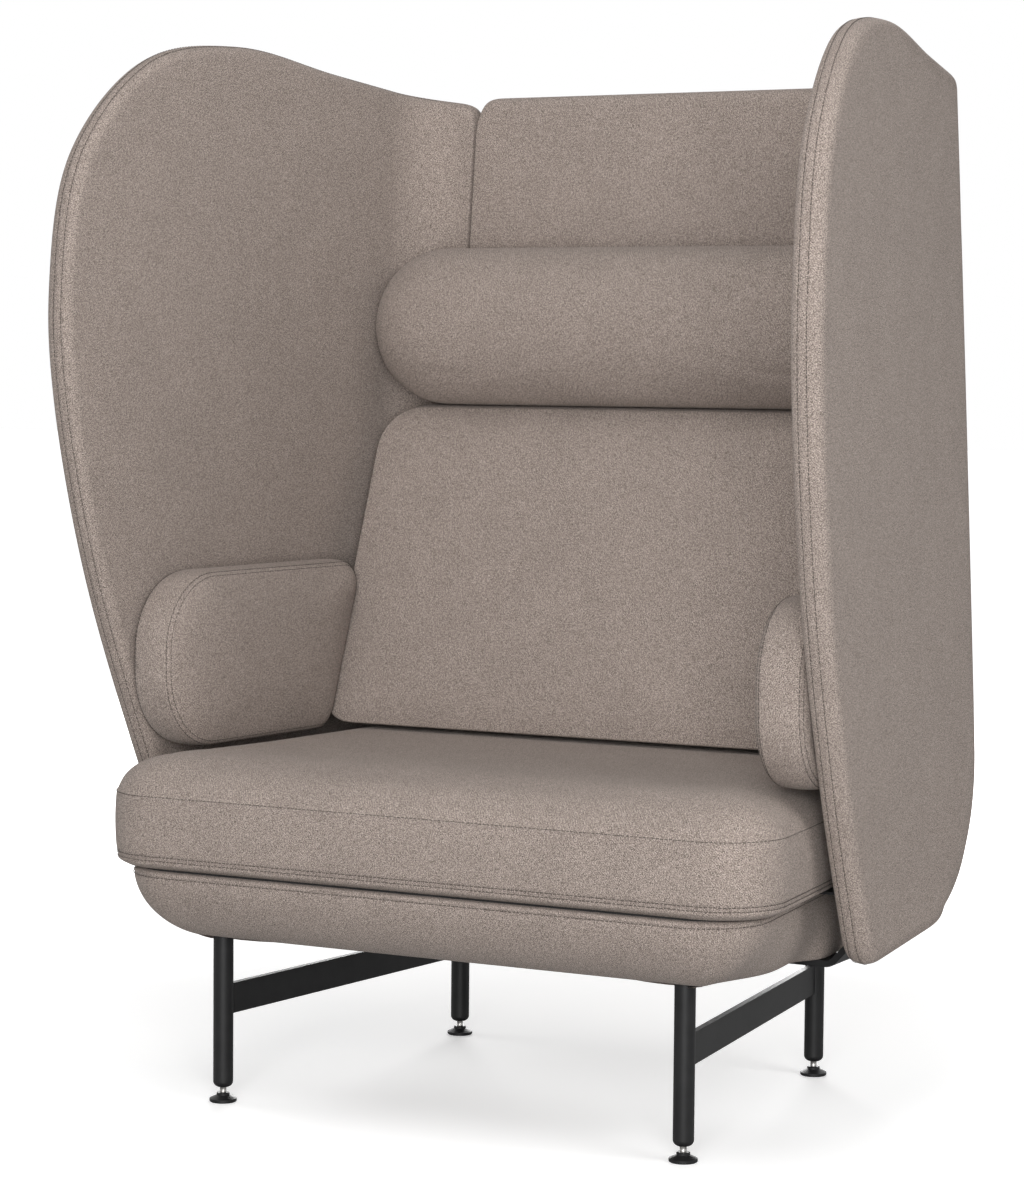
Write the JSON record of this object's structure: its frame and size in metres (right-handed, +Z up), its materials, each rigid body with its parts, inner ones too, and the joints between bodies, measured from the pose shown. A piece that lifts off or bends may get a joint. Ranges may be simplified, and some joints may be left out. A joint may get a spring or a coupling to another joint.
{
  "type": "single-seat sofa",
  "caption": "High-back single-seat sofa: winged upholstered shell, loose seat, back, arm and head cushions on a hull base with steel legs and levelling glides.",
  "frame": {"origin": "on the floor, under the middle of the sofa's width and depth", "axes": "+Z up, the sofa faces -Y, +X to the left of the person sitting in it"},
  "size_m": [1.0342, 0.7434, 1.327],
  "materials": {
    "upholstery": "matte",
    "foam": "matte",
    "timber": "matte",
    "deck_black": "matte",
    "powder_black": "satin",
    "stem_steel": "satin"
  },
  "bodies": {
    "sofa": {"base_cover": "upholstery", "seat_cushion": "upholstery", "back_cushion": "upholstery", "head_bolster": "upholstery", "arm_cushion_left": "upholstery", "arm_cushion_right": "upholstery", "wing_left": "upholstery", "wing_right": "upholstery", "back_panel": "upholstery", "seat_core": "foam", "back_core": "foam", "bolster_core": "foam", "arm_core_left": "foam", "arm_core_right": "foam", "wing_ply_left": "timber", "wing_ply_right": "timber", "back_ply": "timber", "base_board": "timber", "base_timber_front": "timber", "base_timber_rear": "timber", "base_timber_left": "timber", "base_timber_right": "timber", "seat_deck": "deck_black", "cross_bar": "powder_black", "wing_bracket_left": "powder_black", "wing_bracket_right": "powder_black", "side_rail_left": "powder_black", "side_rail_right": "powder_black", "leg_front_left": "powder_black", "leg_cap_front_left": "powder_black", "leg_front_right": "powder_black", "leg_cap_front_right": "powder_black", "leg_rear_left": "powder_black", "leg_cap_rear_left": "powder_black", "leg_rear_right": "powder_black", "leg_cap_rear_right": "powder_black", "leg_screws": "stem_steel"},
    "pad_front_left": {"glide_pad_front_left": "powder_black"},
    "stem_front_left": {"glide_stem_front_left": "stem_steel"},
    "pad_front_right": {"glide_pad_front_right": "powder_black"},
    "stem_front_right": {"glide_stem_front_right": "stem_steel"},
    "pad_rear_left": {"glide_pad_rear_left": "powder_black"},
    "stem_rear_left": {"glide_stem_rear_left": "stem_steel"},
    "pad_rear_right": {"glide_pad_rear_right": "powder_black"},
    "stem_rear_right": {"glide_stem_rear_right": "stem_steel"}
  },
  "joints": [
    {"name": "level_front_left", "type": "slide", "parent": "sofa", "child": "pad_front_left", "axis": [0, 0, 1], "range_m": [-0.012, 0.004]},
    {"name": "thread_front_left", "type": "hinge", "parent": "pad_front_left", "child": "stem_front_left", "pos_m": [-0.316, -0.271, 0.03], "axis": [0, 0, 1], "range_deg": [-3460, 1160]},
    {"name": "level_front_right", "type": "slide", "parent": "sofa", "child": "pad_front_right", "axis": [0, 0, 1], "range_m": [-0.012, 0.004]},
    {"name": "thread_front_right", "type": "hinge", "parent": "pad_front_right", "child": "stem_front_right", "pos_m": [0.316, -0.271, 0.03], "axis": [0, 0, 1], "range_deg": [-3460, 1160]},
    {"name": "level_rear_left", "type": "slide", "parent": "sofa", "child": "pad_rear_left", "axis": [0, 0, 1], "range_m": [-0.012, 0.004]},
    {"name": "thread_rear_left", "type": "hinge", "parent": "pad_rear_left", "child": "stem_rear_left", "pos_m": [-0.2625, 0.244, 0.03], "axis": [0, 0, 1], "range_deg": [-3460, 1160]},
    {"name": "level_rear_right", "type": "slide", "parent": "sofa", "child": "pad_rear_right", "axis": [0, 0, 1], "range_m": [-0.012, 0.004]},
    {"name": "thread_rear_right", "type": "hinge", "parent": "pad_rear_right", "child": "stem_rear_right", "pos_m": [0.2625, 0.244, 0.03], "axis": [0, 0, 1], "range_deg": [-3460, 1160]}
  ],
  "couplings": [
    {"joint": "thread_front_left", "follows": "level_front_left", "rad_per_m": 5026.5},
    {"joint": "thread_front_right", "follows": "level_front_right", "rad_per_m": 5026.5},
    {"joint": "thread_rear_left", "follows": "level_rear_left", "rad_per_m": 5026.5},
    {"joint": "thread_rear_right", "follows": "level_rear_right", "rad_per_m": 5026.5}
  ]
}
